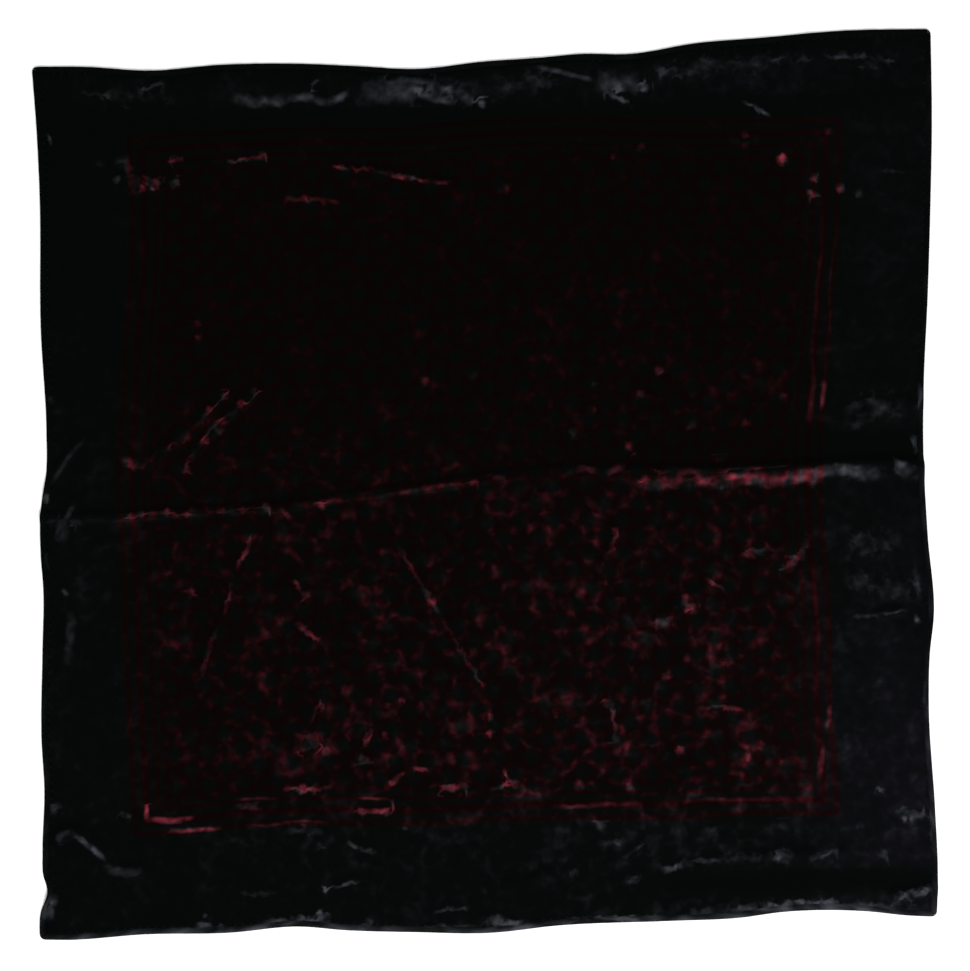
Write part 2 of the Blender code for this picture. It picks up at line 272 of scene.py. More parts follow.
def crinkle(x, y):
    """Height of the small crinkles: sharp little ridges between soft hollows, stronger in some zones."""
    strength = np.zeros(x.shape)
    for (mid_x, mid_y), (wide, high), height in CRINKLE_ZONES:
        out = np.hypot((x - mid_x) / wide, (y - mid_y) / high)
        faded = soft_ridge(np.clip(out - CRINKLE_EDGE, 0.0, 1.0), CRINKLE_FADE)
        strength = np.maximum(strength, height * faded)
    spots = np.column_stack([x.ravel(), y.ravel(), np.zeros(x.size)]) / CRINKLE_LENGTH
    coarse = np.array([noise.noise(Vector(p)) for p in spots]).reshape(x.shape)
    shift = Vector(FINE_CRINKLE_SHIFT)
    fine = np.array([noise.noise(Vector(p) * FINE_CRINKLE_SHORTER + shift) for p in spots]).reshape(x.shape)
    ridges = 1.0 - CRINKLE_SHARPNESS * np.abs(coarse)
    ridges = ridges + FINE_CRINKLE * (1.0 - CRINKLE_SHARPNESS * np.abs(fine))
    return strength * np.clip(ridges, 0.0, None)


CLOTH_COLUMNS = 216
CLOTH_ROWS = 224
CLOTH_THICK = 1.5       # ground weave and pile together
TUCK = 5.4              # the cloth runs this close to the outline, under the hems' inner edge
# Columns: share of the rows from the bottom, share of the way up. Rows lie closer at the mid crease
ROW_PLACES = [(0.0, 0.0), (0.40, 0.45), (0.56, 0.545), (1.0, 1.0)]


def flat_grid(name, columns, rows):
    """A mesh of square faces, and how far across and up it each vertex lies, from 0 to 1."""
    bm = bmesh.new()
    bmesh.ops.create_grid(bm, x_segments=columns, y_segments=rows, size=0.5)
    mesh = bpy.data.meshes.new(name)
    bm.to_mesh(mesh)
    bm.free()
    flat = np.empty(len(mesh.vertices) * 3)
    mesh.vertices.foreach_get("co", flat)
    across, up, _ = flat.reshape(-1, 3).T + 0.5
    return mesh, across, up


def in_scene(name, data):
    """An object of the mesh, the lamp or the camera, linked into the scene."""
    made = bpy.data.objects.new(name, data)
    bpy.context.scene.collection.objects.link(made)
    return made


cloth_mesh, from_left, rows_up = flat_grid("velvet_square", CLOTH_COLUMNS, CLOTH_ROWS)
from_bottom = np.interp(rows_up, [row[0] for row in ROW_PLACES], [row[1] for row in ROW_PLACES])
cloth_x, cloth_y = laid_out(from_left, from_bottom, TUCK).T
cloth_height = lift(cloth_x, cloth_y, FOLDS + SMALL_FOLDS) + crinkle(cloth_x, cloth_y)
laid = np.column_stack([cloth_x, cloth_y, cloth_height + CLOTH_THICK]) * MM
cloth_mesh.vertices.foreach_set("co", laid.ravel())
cloth_mesh.shade_smooth()
velvet_square = in_scene("velvet_square", cloth_mesh)
wall = velvet_square.modifiers.new("cloth thickness", "SOLIDIFY")
wall.thickness = CLOTH_THICK * MM
wall.offset = -1.0
wall.material_offset = 1
wall.material_offset_rim = 1

# The printed frame's outer line as the cloth lies. Columns: y, x of its left side; y, x of its right
FRAME_LEFT = [
    (-351, -351), (-273, -355), (-222, -358), (-122, -362), (-71, -363), (-21, -367), (29, -368),
    (79, -363), (130, -362), (180, -358), (230, -355), (281, -355), (347, -358)]
FRAME_RIGHT = [
    (-330, 354), (-273, 350), (-222, 346), (-122, 345), (-71, 340), (-21, 337), (29, 337),
    (79, 339), (130, 343), (180, 347), (230, 351), (281, 354), (367, 355)]
# Columns: x, y of its bottom; x, y of its top
FRAME_BOTTOM = [
    (-351, -351), (-291, -348), (-241, -342), (-191, -340), (-40, -339), (11, -336), (61, -334),
    (212, -333), (262, -330), (354, -330)]
FRAME_TOP = [
    (-358, 347), (-291, 352), (-241, 354), (-191, 357), (-90, 357), (-40, 361), (11, 365),
    (61, 367), (212, 364), (312, 366), (355, 367)]
FRAME_WIDTH = 706.0
FRAME_HEIGHT = 697.0
REPEATS_ACROSS = 20.6   # of the lattice, from the frame's left line to its right
REPEATS_UP = 20.65
FIRST_ACROSS = 0.234    # where the first dark eye lies from the frame's lower left corner
FIRST_UP = 0.297


def store(mesh, name, first, second, third):
    """Keeps three values at each vertex, for a material to read."""
    made = mesh.attributes.new(name, "FLOAT_VECTOR", "POINT")
    made.data.foreach_set("vector", np.column_stack([first, second, third]).ravel())


left = smooth_column(FRAME_LEFT, 1, cloth_y)
right = smooth_column(FRAME_RIGHT, 1, cloth_y)
bottom = smooth_column(FRAME_BOTTOM, 1, cloth_x)
top = smooth_column(FRAME_TOP, 1, cloth_x)
u = (cloth_x - left) / (right - left)
v = (cloth_y - bottom) / (top - bottom)
across = u * REPEATS_ACROSS - FIRST_ACROSS
up = v * REPEATS_UP - FIRST_UP
from_side = np.minimum(u, 1 - u) * FRAME_WIDTH
from_end = np.minimum(v, 1 - v) * FRAME_HEIGHT
store(cloth_mesh, "lattice", across + up, across - up, np.zeros(len(u)))
store(cloth_mesh, "into_frame", from_side, from_end, np.zeros(len(u)))

# How the pile lies, zone by zone, and how much painted sheen and painted haze it shows. Columns: name,
# middle, half-width and half-height, how restless, haze
ZONES = [
    ("whole cloth", (0, 0), (3000, 3000), 0.20, 0.10),
    ("upper field", (0, 200), (440, 300), 0.46, 0.06),
    ("upper field, middle right", (190, 90), (300, 150), 0.73, 0.10),
    ("middle field", (0, -60), (480, 150), 0.88, 0.10),
    ("lower field", (0, -200), (460, 240), 0.99, 0.14),
    ("lower right field", (190, -190), (280, 240), 1.11, 0.20),
    ("left border", (-400, -160), (90, 340), 0.45, 0.20),
    ("right border, upper", (420, 250), (130, 330), 0.40, 0.24),
    ("right border, middle", (420, -60), (150, 240), 0.34, 0.29),
    ("right border, lower", (430, -310), (150, 230), 0.76, 0.41),
    ("bottom border", (0, -395), (560, 90), 0.54, 0.18),
    ("bottom border, right", (200, -372), (360, 70), 0.78, 0.27),
    ("top border", (60, 405), (560, 60), 0.60, 0.28),
]
ZONE_FALL = 3.0         # how fast a zone gives way to its neighbours
ZONE_PULL = 2500.0      # small zones count for more than the wide ones that they lie in

WANDER = 1.6            # how far a stroke swings off its drawn line, and over what length
WANDER_LENGTH = 32.0
WANDER_SEEDS = (1.5, 8.5)
EVEN_RAGGED = 0.30      # as a share of the other strokes' raggedness, and no more than this in a glint
GLINT_RAGGED = 0.50
FAR_OFF = 3.0           # in half-widths off its line, where a stroke no longer counts
STROKE_MARGIN = 12.0    # a vertex this far outside a stroke still knows of it
STROKE_FULL = 1.0       # its strength is kept this far outside it, and gone here
STROKE_GONE = 6.0

# Bands of painted shade, where the painted sheen and haze are cut back.
# Columns: name, start, middle, end, reach, how much
PAINTED_SHADE_BANDS = [
    ("above the crest", (60, 30), (280, 38), (520, 40), 26, 0.85),
    ("below the lower swell", (160, -404), (300, -398), (470, -396), 20, 0.75),
    ("under the top band", (-460, 366), (0, 366), (440, 392), 22, 0.60),
]

# Strokes of painted sheen, where the pile is pressed over and its shine is painted in.
# Columns: name, start, middle, end, half-width, how far it is pressed
PRESSED_PAINTED_SHEEN_STROKES = [
    ("top band, dotted dash", (-409, 392), (-390, 393), (-373, 391), 4.5, 0.64),
    ("top band, streak", (-348, 396), (-335, 400), (-320, 404), 3.5, 0.73),
    ("top band, haze", (-390, 396), (-340, 392), (-300, 398), 16, 0.38),
    ("top band, after the cloud", (0, 392), (40, 402), (84, 408), 12, 0.47),
    ("top band, fan's edge", (116, 400), (134, 389), (150, 380), 5.5, 0.80),
    ("top band, fan's bright spot", (128, 398), (136, 397), (145, 398), 5, 0.91),
    ("top band, right of the fan", (170, 413), (184, 415), (214, 414), 8, 0.63),
    ("top band, right haze", (170, 416), (250, 422), (330, 426), 14, 0.44),
    ("top band, corner spots", (338, 430), (362, 429), (392, 432), 4.5, 0.67),
    ("top band, corner haze", (330, 430), (380, 428), (425, 424), 11, 0.46),
    ("upper right border dash", (256, 384), (276, 376), (288, 366), 3.5, 0.71),
    ("upper right line", (396, 317), (410, 315), (428, 314), 3.5, 0.47),
    ("upper left edge line", (-441, 356), (-439, 348), (-438, 338), 3, 0.61),
    ("upper left frame, haze", (-388, 328), (-384, 323), (-378, 318), 6, 0.40),
    ("upper left frame", (-366, 334), (-356, 310), (-352, 286), 9, 0.50),
    ("upper left frame, across", (-362, 304), (-340, 302), (-322, 300), 9, 0.60),
    ("upper left dash", (-320, 322), (-312, 326), (-300, 326), 4.5, 0.65),
    ("upper left second dash", (-262, 322), (-246, 325), (-222, 331), 3.5, 0.60),
    ("upper thin crease, left", (-156, 318), (-134, 316), (-108, 316), 4.5, 0.68),
    ("upper thin crease, right", (-118, 316), (-70, 307), (-26, 302), 3.5, 0.71),
    ("upper field dash", (-204, 286), (-176, 286), (-142, 282), 5, 0.59),
    ("left diagonal, low", (-304, 14), (-272, 56), (-212, 103), 4.5, 0.48),
    ("left diagonal, high", (-348, 18), (-300, 50), (-258, 94), 4.5, 0.42),
    ("left frame at the crease", (-368, 22), (-352, 22), (-336, 20), 8, 0.54),
    ("left edge, bright rim", (-442, -8), (-441, -14), (-441, -20), 4.5, 0.67),
    ("left edge, low", (-441, -66), (-440, -76), (-440, -88), 3.5, 0.55),
    ("left border, low patch", (-434, -318), (-432, -326), (-428, -338), 8, 0.56),
    ("lower left brush", (-368, -328), (-362, -331), (-354, -336), 4.5, 0.61),
    ("bottom hem, left end", (-452, -454), (-390, -455), (-300, -448), 4, 0.80),
    ("bottom hem, left patch", (-294, -446), (-276, -447), (-256, -448), 8, 0.80),
    ("bottom hem, second patch", (-232, -444), (-190, -441), (-150, -440), 8, 0.78),
    ("bottom hem, spot", (-172, -436), (-165, -435), (-156, -440), 8, 0.86),
    ("bottom hem, third patch", (-128, -446), (-122, -444), (-112, -439), 6, 0.77),
    ("bottom hem, edge", (-240, -447), (-100, -446), (20, -446), 3, 0.64),
    ("bottom hem, middle streak", (-56, -430), (-34, -428), (-14, -428), 3.5, 0.69),
    ("bottom hem, middle", (-4, -438), (20, -443), (44, -444), 9, 0.84),
    ("bottom hem, right of middle", (40, -443), (110, -438), (200, -435), 4.5, 0.85),
    ("bottom hem, before the strong part", (196, -434), (214, -432), (236, -428), 8, 0.66),
    ("bottom hem, strong part", (226, -431), (330, -423), (448, -429), 8, 0.86),
    ("right hem pinch", (408, -416), (430, -411), (454, -405), 8, 0.96),
    ("right hem, low edge", (448, -320), (448, -342), (449, -366), 3, 0.71),
    ("right border, low cluster", (410, -330), (426, -333), (442, -335), 10, 0.82),
    ("right border, low streak", (390, -306), (398, -307), (406, -309), 3.5, 0.67),
    ("right edge, middle", (444, -186), (441, -206), (440, -228), 3.5, 0.71),
    ("right border, low dash", (394, -196), (400, -198), (406, -198), 4.5, 0.53),
    ("right border streak", (362, -133), (400, -130), (428, -126), 3, 0.65),
    ("right border spot", (431, -130), (435, -135), (437, -142), 4.5, 0.81),
    ("right border, middle haze", (356, -92), (400, -104), (438, -112), 16, 0.50),
    ("right border, upright streak", (431, -78), (434, -98), (438, -120), 4.5, 0.62),
    ("right border, middle flecks", (350, -54), (390, -60), (430, -50), 16, 0.46),
    ("right border, upper haze", (350, 66), (392, 76), (432, 86), 18, 0.48),
    ("right border, upright line", (434, 106), (437, 90), (434, 72), 3, 0.69),
    ("right border, dots", (433, 52), (433, 40), (434, 28), 3.5, 0.63),
    ("left field, upper", (-236, -46), (-240, -64), (-250, -92), 3.5, 0.59),
    ("left field, knot", (-250, -96), (-256, -110), (-268, -140), 4.5, 0.65),
    ("left field, lower", (-268, -138), (-280, -172), (-294, -212), 3.5, 0.49),
    ("left field, spot", (-298, -104), (-295, -108), (-290, -110), 4.5, 0.57),
    ("middle left field, upper", (-194, -96), (-189, -104), (-180, -116), 4.5, 0.67),
    ("middle left field, lower", (-192, -136), (-178, -148), (-162, -158), 4.5, 0.63),
    ("middle field, upper", (-92, -48), (-76, -84), (-58, -112), 3.5, 0.57),
    ("middle field, knot", (-66, -102), (-54, -118), (-42, -132), 5, 0.74),
    ("middle field, between", (-46, -128), (-34, -150), (-18, -178), 3.5, 0.50),
    ("middle field, lower", (-24, -172), (-12, -190), (4, -206), 3.5, 0.68),
    ("off the crease", (130, -40), (131, -56), (124, -76), 4.5, 0.67),
    ("off the crease, foot", (122, -76), (116, -84), (108, -88), 4.5, 0.59),
    ("right field, link", (220, -93), (232, -101), (247, -112), 3.5, 0.71),
    ("right field, cluster", (190, -112), (204, -120), (218, -132), 11, 0.70),
    ("right field, cluster's foot", (160, -140), (176, -140), (194, -136), 9, 0.66),
    ("right field, upper cluster", (252, -80), (272, -68), (294, -66), 9, 0.62),
    ("right field, upper right", (296, -86), (310, -78), (324, -70), 9, 0.62),
    ("right field, by the frame", (316, -70), (322, -58), (327, -49), 6, 0.50),
    ("right field, low flecks", (236, -176), (248, -174), (262, -176), 5, 0.61),
    ("lower field bar, left", (-204, -302), (-182, -306), (-148, -304), 5, 0.82),
    ("lower field, short bar", (-140, -282), (-122, -280), (-108, -280), 4.5, 0.67),
    ("lower field arch, left", (-100, -306), (-90, -296), (-78, -286), 3.5, 0.74),
    ("lower field arch, right", (-76, -286), (-64, -284), (-54, -290), 3.5, 0.66),
    ("lower field dashes", (-46, -306), (-34, -304), (-20, -302), 4.5, 0.78),
    ("lower field hook, upright", (20, -282), (22, -292), (28, -300), 3.5, 0.76),
    ("lower field hook, foot", (2, -306), (16, -304), (30, -302), 3.5, 0.78),
    ("lower left hook", (-112, -240), (-118, -256), (-122, -266), 3.5, 0.70),
    ("lower left hook's foot", (-128, -274), (-122, -277), (-112, -276), 4.5, 0.70),
    ("lower left column", (-166, -218), (-172, -232), (-176, -246), 3.5, 0.61),
    ("lower left eye", (-184, -250), (-172, -258), (-164, -266), 8, 0.58),
    ("lower field column", (126, -214), (132, -236), (128, -262), 4.5, 0.69),
    ("lower right bar", (208, -227), (236, -224), (268, -231), 4.5, 0.63),
    ("border under the frame", (-206, -348), (-184, -350), (-158, -347), 5, 0.55),
    ("bottom border dash", (-142, -360), (-128, -364), (-106, -371), 3.5, 0.77),
    ("bottom border, left faint", (-250, -410), (-228, -410), (-202, -409), 4.5, 0.47),
    ("bottom border, dot and streak", (-162, -408), (-140, -403), (-114, -395), 3.5, 0.65),
    ("bottom border, short streak", (110, -360), (128, -360), (146, -358), 5, 0.57),
    ("bottom border, blue diagonal", (136, -376), (148, -368), (162, -357), 3, 0.73),
    ("bottom border, left of the swell", (84, -394), (90, -390), (98, -387), 4.5, 0.59),
    ("bottom border, star", (138, -394), (148, -399), (158, -398), 8, 0.62),
    ("lower swell, bright end", (176, -388), (188, -386), (203, -382), 4.5, 0.91),
    ("lower swell, haze", (150, -388), (230, -378), (300, -376), 9, 0.46),
    ("lower swell, flecks", (204, -379), (222, -378), (244, -378), 3.5, 0.67),
    ("lower swell, star", (284, -378), (296, -372), (310, -378), 8, 0.70),
    ("lower swell, right flecks", (322, -375), (338, -373), (352, -370), 5, 0.63),
    ("lower swell, end", (390, -374), (400, -373), (408, -374), 8, 0.62),
]

# Painted highlights with smooth edges: soft painted sheens of the borders and the mid crease, and painted
# highlights on printed lines. Columns as above
EVEN_PAINTED_SHEEN_STROKES = [
    ("top band, tick", (-176, 397), (-171, 402), (-164, 408), 3, 0.64),
    ("top band, thin streak", (44, 420), (84, 412), (120, 399), 4.5, 0.66),
    ("left edge pinch", (-438, -4), (-418, 26), (-400, 48), 3.5, 0.55),
    ("left edge fan", (-426, -30), (-425, -42), (-432, -58), 9, 0.64),
    ("left edge fan's arm", (-422, -36), (-416, -26), (-408, -16), 4.5, 0.61),
    ("left streak, upper", (-424, -104), (-421, -109), (-417, -114), 4.5, 0.63),
    ("left streak, lower", (-418, -124), (-417, -150), (-418, -186), 8, 0.55),
    ("top band, left blur", (-260, 388), (-228, 385), (-196, 388), 9, 0.74),
    ("top band, left blur's end", (-204, 389), (-178, 387), (-154, 380), 6.5, 0.70),
    ("top band, hook", (-158, 382), (-148, 387), (-133, 395), 5.5, 0.71),
    ("top band, middle cloud", (-140, 390), (-70, 396), (10, 388), 19, 0.63),
    ("top band, cloud's upper vein", (-110, 396), (-78, 406), (-44, 400), 6, 0.70),
    ("top band, cloud's lower vein", (-80, 400), (-52, 388), (-20, 382), 6, 0.74),
    ("top band, cloud's core", (-60, 396), (-34, 394), (-4, 384), 9, 0.76),
    ("top band, fan", (104, 406), (132, 402), (162, 402), 16, 0.70),
    ("squiggle, rise", (-432, -362), (-424, -352), (-412, -348), 5, 0.77),
    ("squiggle, fall", (-416, -348), (-398, -363), (-378, -382), 4.5, 0.85),
    ("squiggle, tail", (-384, -380), (-364, -390), (-342, -383), 8, 0.68),
    ("lower left hem pinch", (-428, -410), (-437, -426), (-441, -440), 9, 0.80),
    ("strip on the right border", (322, 9), (370, 12), (402, 12), 11, 0.74),
    ("strip on the border, end", (408, 20), (421, 16), (430, 10), 10, 0.80),
    ("strip's left part", (145, 4), (176, 3), (206, 5), 10, 0.72),
    ("strip's middle", (196, 6), (262, 5), (330, 9), 11, 0.80),
    ("strip's right part", (300, 6), (322, 8), (348, 9), 11, 0.86),
    ("crest line", (150, 13), (235, 14), (318, 17), 4.5, 0.50),
    ("mid crease, bright dash", (-124, -14), (-66, -6), (-8, 4), 4.5, 0.56),
    ("mid crease, second dash", (4, 4), (14, 6), (24, 5), 4.5, 0.55),
    ("mid crease, left end", (-448, -35), (-410, -36), (-374, -35), 4.5, 0.35),
    ("mid crease, left red part", (-372, -34), (-330, -31), (-280, -28), 5, 0.43),
    ("mid crease, flecks", (-282, -28), (-262, -27), (-216, -24), 4.5, 0.46),
    ("mid crease, branch", (-208, -24), (-200, -29), (-192, -36), 4.5, 0.60),
    ("mid crease, knot", (-200, -23), (-168, -20), (-130, -15), 5, 0.58),
    ("mid crease, loop", (72, 6), (96, 16), (118, 12), 5, 0.55),
    ("mid crease, second loop", (120, 10), (132, 16), (144, 16), 5, 0.59),
    ("red corner, upright", (-341, -320), (-341, -330), (-341, -341), 3.8, 0.93),
    ("red corner, along", (-344, -338), (-320, -338), (-290, -336), 4, 0.92),
    ("framed box, lower", (-134, -328), (-112, -329), (-90, -328), 4, 0.90),
    ("framed box, upper", (-132, -317), (-112, -317), (-93, -317), 2.5, 0.62),
    ("framed box, right side", (-94, -315), (-93, -322), (-93, -330), 2.5, 0.66),
    ("frame's inner line, left", (-254, -317), (-230, -317), (-205, -316), 3, 0.52),
    ("frame's outer line, left", (-246, -343), (-200, -341), (-150, -340), 3, 0.52),
    ("frame line left of the bottom", (-322, -347), (-296, -348), (-262, -344), 3.5, 0.79),
    ("frame line, lower right", (60, -326), (110, -322), (164, -321), 4.5, 0.58),
    ("frame line, right corner", (200, -318), (250, -316), (310, -318), 4, 0.52),
    ("frame's middle line, right, upper", (341, 290), (333, 180), (327, 54), 4, 0.33),
    ("frame's outer line, right, upper", (353, 280), (347, 180), (339, 70), 3, 0.30),
    ("frame's middle line, right, lit part", (329, 114), (328.5, 88), (326, 56), 5, 0.53),
    ("frame's outer line, right, lit part", (341, 106), (340, 90), (337.5, 72), 4, 0.70),
    ("frame's middle line, right, middle", (331, -66), (334, -130), (336, -200), 4.5, 0.38),
    ("frame line, right side", (336, -300), (339, -280), (342, -256), 4.5, 0.67),
    ("frame line, right side upper", (342, -248), (346, -236), (345, -220), 4.5, 0.65),
    ("lower left frame line", (-252, -322), (-238, -326), (-224, -324), 4.5, 0.59),
]

# Painted glints: points of painted highlight. Columns: x, y, radius, how far the pile is pressed there
PAINTED_GLINTS = [
    (-370, 306, 6, 0.72), (-312, 302, 7, 0.77), (-246, 325, 6, 0.73), (-224, 330, 6, 0.66),
    (298, 326, 8, 0.91), (331, 308, 7, 0.70), (356, 298, 7, 0.74), (328, 292, 7, 0.62),
    (376, 294, 8, 0.62), (262, 351, 6, 0.55), (262, 341, 6, 0.58), (156, 339, 7, 0.58),
    (128, 329, 6, 0.52), (345, 355, 6, 0.50), (-35, 395, 8, 0.90), (-65, 396, 7, 0.86),
    (-3, 383, 7, 0.90), (159, 399, 7, 0.86), (181, 414, 6, 0.74), (293, 424, 5, 0.60),
    (320, 427, 6, 0.62), (360, 430, 7, 0.84), (380, 431, 5, 0.70), (405, 425, 5, 0.74),
    (-290, 160, 8, 0.52), (-288, 148, 7, 0.50), (20, 297, 10, 0.50), (-436, 85, 6, 0.50),
    (-301, 15, 7, 0.60), (-280, 44, 6, 0.66), (-268, 54, 6, 0.64), (-262, 64, 6, 0.66),
    (-245, 82, 6, 0.65), (-232, 94, 6, 0.70), (-318, 35, 6, 0.56), (-277, 77, 6, 0.64),
    (-262, 88, 6, 0.62), (-60, 103, 8, 0.64), (-12, 108, 7, 0.50), (90, 52, 9, 0.56),
    (107, 75, 7, 0.58), (110, 100, 6, 0.56), (145, 38, 8, 0.56), (155, 90, 8, 0.58),
    (175, 115, 7, 0.62), (208, 60, 9, 0.52), (262, 62, 8, 0.50), (262, 110, 8, 0.50),
    (300, 88, 8, 0.50), (236, 26, 7, 0.42), (-355, -32, 6, 0.72), (-345, -30, 6, 0.67),
    (-320, -28, 6, 0.66), (-300, -30, 6, 0.68), (-263, -27, 6, 0.73), (-243, -26, 6, 0.73),
    (-220, -23, 7, 0.79), (-165, -21, 7, 0.73), (-60, -5, 7, 0.67), (-12, 2, 6, 0.67),
    (162, 4, 8, 0.79), (205, -2, 7, 0.60), (236, -2, 6, 0.79), (284, 0, 7, 0.77),
    (330, 4, 9, 0.83), (421, 18, 8, 0.86), (-53, -118, 7, 0.85), (-10, -186, 6, 0.77),
    (-296, -107, 6, 0.60), (-180, -112, 6, 0.67), (-176, -190, 7, 0.50), (-104, -192, 8, 0.50),
    (105, -192, 7, 0.58), (125, -220, 8, 0.66), (162, -220, 8, 0.66), (132, -256, 8, 0.77),
    (72, -228, 7, 0.62), (95, -302, 8, 0.62), (145, -302, 8, 0.62), (195, -268, 8, 0.66),
    (205, -176, 8, 0.62), (262, -274, 8, 0.68), (245, -176, 8, 0.56), (182, -192, 8, 0.62),
    (200, -118, 7, 0.79), (276, -68, 6, 0.71), (318, -72, 7, 0.66), (305, -84, 8, 0.65),
    (-164, -224, 6, 0.66), (-160, -268, 7, 0.77), (-182, -268, 6, 0.67), (-164, -252, 7, 0.64),
    (-118, -252, 6, 0.73), (-124, -276, 7, 0.77), (-100, -252, 6, 0.67), (-98, -222, 6, 0.69),
    (-84, -216, 6, 0.66), (-184, -306, 8, 0.87), (-168, -303, 7, 0.73), (-124, -331, 5, 0.79),
    (-98, -331, 5, 0.79), (-20, -303, 6, 0.79), (-42, -305, 6, 0.77), (30, -301, 7, 0.85),
    (5, -250, 6, 0.67), (5, -234, 6, 0.66), (-22, -168, 7, 0.62), (-80, -345, 5, 0.74),
    (-168, -364, 6, 0.54), (116, -343, 8, 0.62), (228, -350, 10, 0.50), (300, -343, 8, 0.50),
    (376, -343, 7, 0.56), (438, -333, 7, 0.92), (352, -369, 6, 0.62), (-160, -408, 4, 0.80),
    (-437, -425, 9, 0.86), (-116, -439, 6, 0.76), (-282, -432, 5, 0.60), (78, -376, 7, 0.56),
]


def steps(low, high, value):
    """Rises smoothly from 0 at low to 1 at high."""
    share = np.clip((value - low) / (high - low), 0.0, 1.0)
    return share * share * (3.0 - 2.0 * share)


def stroke_near(x, y, start, middle, end, reach):
    """Which points lie near enough to a stroke for it to touch them."""
    low = np.minimum(start, end) - 2 * reach
    high = np.maximum(start, end) + 2 * reach
    return (x > low[0]) & (x < high[0]) & (y > low[1]) & (y < high[1])


def wandering(x, y, length, seed):
    """A smooth uneven wave over the cloth, between about -1 and 1."""
    spots = np.column_stack([np.ravel(x) / length, np.ravel(y) / length, np.full(np.size(x), seed)])
    return np.array([2.0 * noise.noise(Vector(spot)) for spot in spots]).reshape(np.shape(x))


def painted_sheen_strokes_at(x, y):
    """The painted highlight or painted glint that marks each point most: how far off its line, in
    half-widths, how far the pile is pressed on that line, and how ragged it is. The shader paints the
    highlight from these."""
    swung_x = x + WANDER * wandering(x, y, WANDER_LENGTH, WANDER_SEEDS[0])
    swung_y = y + WANDER * wandering(x, y, WANDER_LENGTH, WANDER_SEEDS[1])
    off_line = np.full(x.shape, FAR_OFF)
    pressed = np.zeros(x.shape)
    ragged = np.ones(x.shape)
    marked = np.zeros(x.shape)
    strokes = [(1.0, *row[1:]) for row in PRESSED_PAINTED_SHEEN_STROKES] + [(EVEN_RAGGED, *row[1:]) for row in EVEN_PAINTED_SHEEN_STROKES]
    for raggedness, start, middle, end, half_width, strength in strokes:
        near = np.flatnonzero(stroke_near(x, y, start, middle, end, half_width + STROKE_MARGIN))
        away, share, side = near_curve(swung_x[near], swung_y[near], start, middle, end)
        tapered = strength * (1.0 - (2.0 * share - 1.0) ** 4)
        mark = tapered * soft_ridge(away, half_width + STROKE_MARGIN)
        if np.sum(side * np.sign(off_line[near]) * mark * marked[near]) < 0:
            side = -side        # so that no false line shows where this stroke meets its neighbour
        near, away, side, tapered, mark = [
            values[mark > marked[near]] for values in (near, away, side, tapered, mark)]
        off_line[near] = side * away / half_width
        pressed[near] = tapered * (1.0 - steps(STROKE_FULL, STROKE_GONE, away - half_width))
        ragged[near] = raggedness
        marked[near] = mark
    for glint_x, glint_y, radius, strength in PAINTED_GLINTS:
        away = np.hypot(x - glint_x, y - glint_y)
        mark = strength * soft_ridge(away, radius + STROKE_MARGIN)
        near = np.flatnonzero(mark > marked)
        off_line[near] = np.copysign(away[near] / radius, off_line[near])
        pressed[near] = strength * (1.0 - steps(STROKE_FULL, STROKE_GONE, away[near] - radius))
        ragged[near] = np.minimum(ragged[near], GLINT_RAGGED)
        marked[near] = mark[near]
    return np.clip(off_line, -FAR_OFF, FAR_OFF), pressed, ragged


def zoned(x, y, column):
    """One of the zones' values at each point, the zones melting into one another, cut back in the bands of
    painted shade.
    """
    total = np.zeros(x.shape)
    weights = np.zeros(x.shape)
    for _, (mid_x, mid_y), (wide, high), *values in ZONES:
        out = np.sqrt(((x - mid_x) / wide) ** 4 + ((y - mid_y) / high) ** 4)
        weight = np.exp(-ZONE_FALL * out) * ZONE_PULL / (wide + high)
        total += weight * values[column]
        weights += weight
    level = total / weights
    for _, start, middle, end, reach, share in PAINTED_SHADE_BANDS:
        level *= 1.0 - share * ridge_along(x, y, start, middle, end, reach)
    return level


# The lamp stands to the lower right, so slopes turned that way get painted light in the pile's colour, and
# slopes turned away painted shade
TO_LIGHT = (0.30, -0.95)
SLOPE_STARTS = 0.06     # slopes steeper than this show it, and at this they show it in full
SLOPE_FULL = 0.50
SLOPE_PAINTED_LIGHT = 0.36        # how much painted light they take
SLOPE_SHADE = 0.40      # how much painted shade dims the pile's sheen and haze on slopes turned away
grid_shape = (CLOTH_ROWS + 1, CLOTH_COLUMNS + 1)
height_grid = cloth_height.reshape(grid_shape)
slope_x = np.gradient(height_grid, axis=1) / np.gradient(cloth_x.reshape(grid_shape), axis=1)
slope_y = np.gradient(height_grid, axis=0) / np.gradient(cloth_y.reshape(grid_shape), axis=0)
to_light = -(slope_x * TO_LIGHT[0] + slope_y * TO_LIGHT[1]).ravel()
painted_lit_slope = SLOPE_PAINTED_LIGHT * steps(SLOPE_STARTS, SLOPE_FULL, to_light)
left_by_painted_shade = 1.0 - SLOPE_SHADE * steps(SLOPE_STARTS, SLOPE_FULL, -to_light)


def set_painted_sheen_of_pile(mesh, x, y, painted_lit_slope, share_left_by_painted_shade):
    """Stores the pile's painted sheen at each vertex: how restless, how hazy, how much painted light on its
    slope, and the painted highlight stroke on it.
    """
    store(mesh, "pile", share_left_by_painted_shade * zoned(x, y, 0), share_left_by_painted_shade * zoned(x, y, 1), painted_lit_slope)
    store(mesh, "stroke", *painted_sheen_strokes_at(x, y))


set_painted_sheen_of_pile(cloth_mesh, cloth_x, cloth_y, painted_lit_slope, left_by_painted_shade)


def linear(code):
    """A colour written as an sRGB hex value, as Blender's linear one."""
    shares = [int(code[i:i + 2], 16) / 255 for i in (1, 3, 5)]
    return (*[c / 12.92 if c <= 0.04045 else ((c + 0.055) / 1.055) ** 2.4 for c in shares], 1.0)


